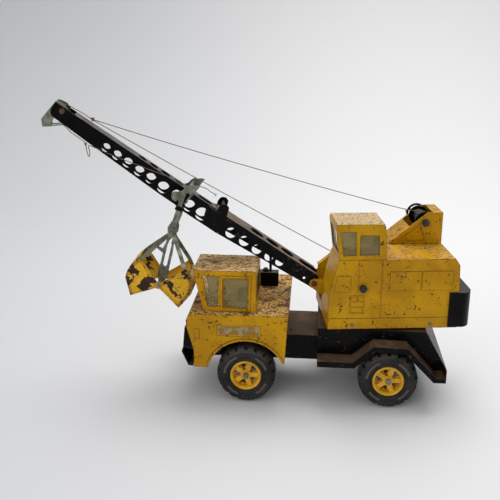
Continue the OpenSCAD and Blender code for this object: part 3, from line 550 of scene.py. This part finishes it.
# The middle of each line in the unswung upper works, in mm, as the CAD routes it.
BOOM_ROUTE = [(338, 45, 312), (341.5, 45, 320), (338, 45, 328.5), (331, 45, 333.4), (322, 45, 334.8),
              (290, 45, 338.5), (150, 43, 377), (0, 40.5, 421), (-140, 38, 463.5), (-281, 34, 509.4)]
HOIST_ROUTE = [(204, 36, 216), (208, 36, 223.5), (206, 36, 231.5), (200.5, 36, 236.2), (194, 36, 236.8),
               (180, 36, 243.5), (150, 36, 260.5), (0, 36, 345), (-140, 36, 425), (-240, 36, 483.5),
               (-281, 36, 508), (-300, 36, 521), (-326, 36, 535.4), (-333.2, 36, 537.1)]
CLAM_ROUTE = [(-334, 21.8, 503.6), (-326, 20.2, 496), (-317.9, 18.6, 488.1), (-306, 18.6, 479.4),
              (-296, 18.4, 471.8), (-294.8, 17.8, 468.6), (-294, 17.2, 462), (-292.6, 16.8, 453.4),
              (-291.2, 16.4, 448.2), (-289.6, 15.9, 446.8), (-288.2, 15.4, 449), (-287.9, 15, 454),
              (-288.9, 14.8, 460.4), (-290, 14.8, 464.4), (-288.8, 15.2, 466.4), (-285.2, 16.4, 465.2),
              (-278, 17.8, 461.6), (-269.9, 18.6, 457.9), (-250, 18.6, 448.8), (-223.3, 18.6, 437.6),
              (-196.3, 18.6, 426.9), (-164.6, 18.6, 414.2), (-150, 18.8, 408.8), (-140, 21, 403.2),
              (-132, 23, 397.6), (-123.5, 21.5, 392.6), (-115, 16.5, 391.6), (-106.6, 13, 392),
              (-96.2, 12, 392.2), (-87.6, 12, 389.9), (-79.7, 12, 386.7), (-73.7, 12, 381.2),
              (-66.8, 12, 377.7)]
KNOT_STEPS = 72
FIBRES = 9
FIBRE_R = 0.22 * MM


def line_between(name, route):
    """A taut twisted line in place of its plain CAD tube."""
    points = smooth_route([on_house(*p) for p in route], 1.1 * MM)
    made = add_object(name, mesh_of(name, *twisted(points), smooth=True), CORD)
    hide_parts(name)
    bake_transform(made)


line_between("boom_line", BOOM_ROUTE)
line_between("hoist_line", HOIST_ROUTE)

clam_points = smooth_route([on_house(*p) for p in CLAM_ROUTE], 1.0 * MM)
clam_mesh = mesh_of("loose_line", *twisted(clam_points), smooth=True)
clam_cord = piece("loose_line", clam_mesh, CORD, "boom")
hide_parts("clam_line")


def knot(name, place, size):
    """A small overhand knot, as a trefoil."""
    turns = [2 * math.pi * k / KNOT_STEPS for k in range(KNOT_STEPS)]
    points = [place + Vector((math.sin(t) + 2 * math.sin(2 * t), -0.8 * math.sin(3 * t),
                              math.cos(t) - 2 * math.cos(2 * t))) * size / 3 for t in turns]
    tube = sweep(points, round_section(LINE_R * 1.1), closed=True)
    piece(name, mesh_of(name, *tube, smooth=True), CORD, "boom")


def frayed_end(end, way):
    """Loose fibres that spread from a line's end. way is the line's direction there."""
    points, faces = [], []
    for _ in range(FIBRES):
        lean = Vector((random.uniform(-1, 1), random.uniform(-1, 1), random.uniform(-1, 1))) * 0.5
        reach = random.uniform(5, 9) * MM
        fibre = [end - way * 2 * MM + (way + lean * t) * reach * t for t in (0.0, 0.33, 0.66, 1.0)]
        fibre_points, fibre_faces = sweep(fibre, round_section(FIBRE_R, 5))
        faces += [tuple(k + len(points) for k in face) for face in fibre_faces]
        points += fibre_points
    return piece("line_fray", mesh_of("line_fray", points, faces), FRAYED, "boom")


knot("line_knot", on_house(-282.6, 34.6, 510.4), 3.2 * MM)
knot("loose_line_knot", on_house(-294.8, 17.6, 468.6), 2.0 * MM)
clam_end = on_house(*CLAM_ROUTE[-1])
fray = frayed_end(clam_end, (clam_end - on_house(*CLAM_ROUTE[-3])).normalized())


# ---------- small pieces ----------
def ring_at(centre, axis, radius, thick, sides=48):
    """Points and faces of a ring about an axis."""
    axis = axis.normalized()
    side = axis.orthogonal().normalized()
    other = axis.cross(side)
    loop = [centre + (side * math.cos(a) + other * math.sin(a)) * radius
            for a in (2 * math.pi * k / sides for k in range(sides))]
    return sweep(loop, round_section(thick, 8), closed=True)


WHEELS = {"fl": (0, -1), "fr": (0, 1), "rl": (WHEELBASE, -1), "rr": (WHEELBASE, 1)}  # axle's x, and side
SIDEWALL_Y = 111.1  # mm from the middle of the truck
SIDEWALL_RINGS = ((33.5, 0.2), (45.4, -0.7))  # radius, and height over the sidewall, mm
MARKS = ((20, 9), (115, 12), (215, 7), (300, 8))  # first mark's angle in degrees, and number of marks
MARK_STEP, MARK_WIDTH = 5, 3.1  # degrees
MARK_INNER, MARK_OUTER, MARK_HEIGHT = 37.2, 41.6, 0.55  # mm


def tyre_relief(corner, x, side):
    """Moulded rings and short marks on the outer sidewall."""
    body = "wheel_" + corner
    wall = side * SIDEWALL_Y
    for radius, out in SIDEWALL_RINGS:
        name = f"tyre_ring_{corner}_{round(radius)}"
        centre = on_chassis(x, wall + side * out, TYRE_R)
        ring = ring_at(centre, Vector((0, 1, 0)), radius * MM, 0.7 * MM, 72)
        piece(name, mesh_of(name, *ring, smooth=True), RUBBER, body)
    points, faces = [], []
    for start, count in MARKS:
        for k in range(count):
            a0 = math.radians(start + k * MARK_STEP)
            for a in (a0, a0 + math.radians(MARK_WIDTH)):
                for r in (MARK_INNER, MARK_OUTER):
                    for y in (wall, wall + side * MARK_HEIGHT):
                        points.append(on_chassis(x + r * math.cos(a), y, TYRE_R + r * math.sin(a)))
            faces += [tuple(i + len(points) - 8 for i in f) for f in BOX_FACES]
    name = "tyre_marks_" + corner
    piece(name, mesh_of(name, points, faces), DUSTY_MARK, body)


for corner, (axle, side) in WHEELS.items():
    tyre_relief(corner, axle, side)

# worn silver patches on the fender sides
for side, word in ((-1, "left"), (1, "right")):
    box("silver_patch_" + word, on_chassis, (-50, side * 115.4, 136.5), (24, side * 115.75, 153.5), SILVER,
        "chassis", 0.1)
# driver's seat and steering wheel
box("cab_seat", on_chassis, (-22, -88, 176), (4, -6, 189), SEAT, "chassis", 2)
box("cab_seat_back", on_chassis, (4, -88, 176), (12, -6, 214), SEAT, "chassis", 2)
steering_centre = on_chassis(-50, -58, 206)
steering_rim = ring_at(steering_centre, Vector((0.8, 0, 0.6)), 13 * MM, 1.6 * MM)
piece("steering_wheel", mesh_of("steering_wheel", *steering_rim, smooth=True), DARK_TRIM, "chassis")
column = sweep([steering_centre, on_chassis(-84, -58, 181)], round_section(1.8 * MM))
piece("steering_column", mesh_of("steering_column", *column), DARK_TRIM, "chassis")
# two places on the house roof where the paint is still whole
for number, (x0, x1, y0, y1) in enumerate(((258, 274, -72, 8), (300, 318, -72, -28))):
    box(f"roof_patch_{number}", on_house, (x0, y0, 277.4), (x1, y1, 277.7), KEPT_PAINT, "house",
        0.05)
# pale linings inside both cabs, seen through the windows, and the steering wheel's spoke
box("cab_lining", on_chassis, (-84, 1, 176), (12, 2, 236), LINING, "chassis", 0.1)
box("operator_lining", on_house, (158, -6, 280), (226, -5, 330), LINING, "house", 0.1)
box("steering_spoke", on_chassis, (-51.2, -70, 205), (-48.8, -46, 207), DARK_TRIM, "chassis", 0.3)


# ---------- stage ----------
PAPER_FRONT = -6.0  # y of the paper's front edge
PAPER_HALF = 7.0  # half of its width
BEND_Y, BEND_R = 1.1, 0.9  # where the paper starts to turn up behind the truck, and the radius of the turn
BEND_STEPS = 12
PAPER_TOP = 5.0
PAPER_GAP = 0.0002  # the paper lies this far under the wheels
SKY_STRENGTH = {"From Min": 0.0, "From Max": 0.9, "To Min": 0.14, "To Max": 0.8}  # horizon to near overhead
SKY_COLOUR = (0.92, 0.95, 1.0, 1)


def make_stage():
    """A sheet of paper that lies under the truck and turns up behind it."""
    bm = bmesh.new()
    profile = [(PAPER_FRONT, 0.0), (BEND_Y, 0.0)]
    for i in range(1, BEND_STEPS + 1):
        a = math.radians(90 * i / BEND_STEPS)
        profile.append((BEND_Y + BEND_R * math.sin(a), BEND_R * (1 - math.cos(a))))
    profile.append((BEND_Y + BEND_R, PAPER_TOP))
    rows = [[bm.verts.new((x, y, z - PAPER_GAP)) for x in (-PAPER_HALF, PAPER_HALF)] for y, z in profile]
    for a, b in zip(rows, rows[1:]):
        bm.faces.new((a[0], a[1], b[1], b[0]))
    mesh = bpy.data.meshes.new("backdrop")
    bm.to_mesh(mesh)
    bm.free()
    for face in mesh.polygons:
        face.use_smooth = True
    floor = add_object("backdrop", mesh, pale_floor("backdrop_paper"))


def area_light(name, place, target, size, power):
    """A soft rectangular light that shines on the target. power is in watts."""
    data = bpy.data.lights.new(name, "AREA")
    data.shape = "RECTANGLE"
    data.size, data.size_y = size
    data.energy = power
    lamp = bpy.data.objects.new(name, data)
    lamp.location = place
    lamp.rotation_euler = (Vector(target) - Vector(place)).to_track_quat("-Z", "Y").to_euler()
    bpy.context.scene.collection.objects.link(lamp)


def make_world():
    """A pale studio that is brighter overhead."""
    world = bpy.data.worlds.new("studio")
    world.use_nodes = True
    tree = world.node_tree
    sky = tree.nodes["Background"]
    split = tree.nodes.new("ShaderNodeSeparateXYZ")
    tree.links.new(tree.nodes.new("ShaderNodeTexCoord").outputs["Generated"], split.inputs[0])
    lift = tree.nodes.new("ShaderNodeMapRange")
    lift.interpolation_type = "SMOOTHSTEP"
    tree.links.new(split.outputs["Z"], lift.inputs["Value"])
    for socket, value in SKY_STRENGTH.items():
        lift.inputs[socket].default_value = value
    tree.links.new(lift.outputs["Result"], sky.inputs["Strength"])
    sky.inputs["Color"].default_value = SKY_COLOUR
    bpy.context.scene.world = world


make_stage()
area_light("overhead_window", place=(0.5, 0.9, 2.3), target=(0, 0, 0.1), size=(2.4, 1.6), power=46)
area_light("front_fill", place=(-1.4, -2.2, 1.3), target=(0, 0, 0.2), size=(1.8, 1.4), power=15)
make_world()
bpy.context.scene.view_settings.view_transform = "Standard"
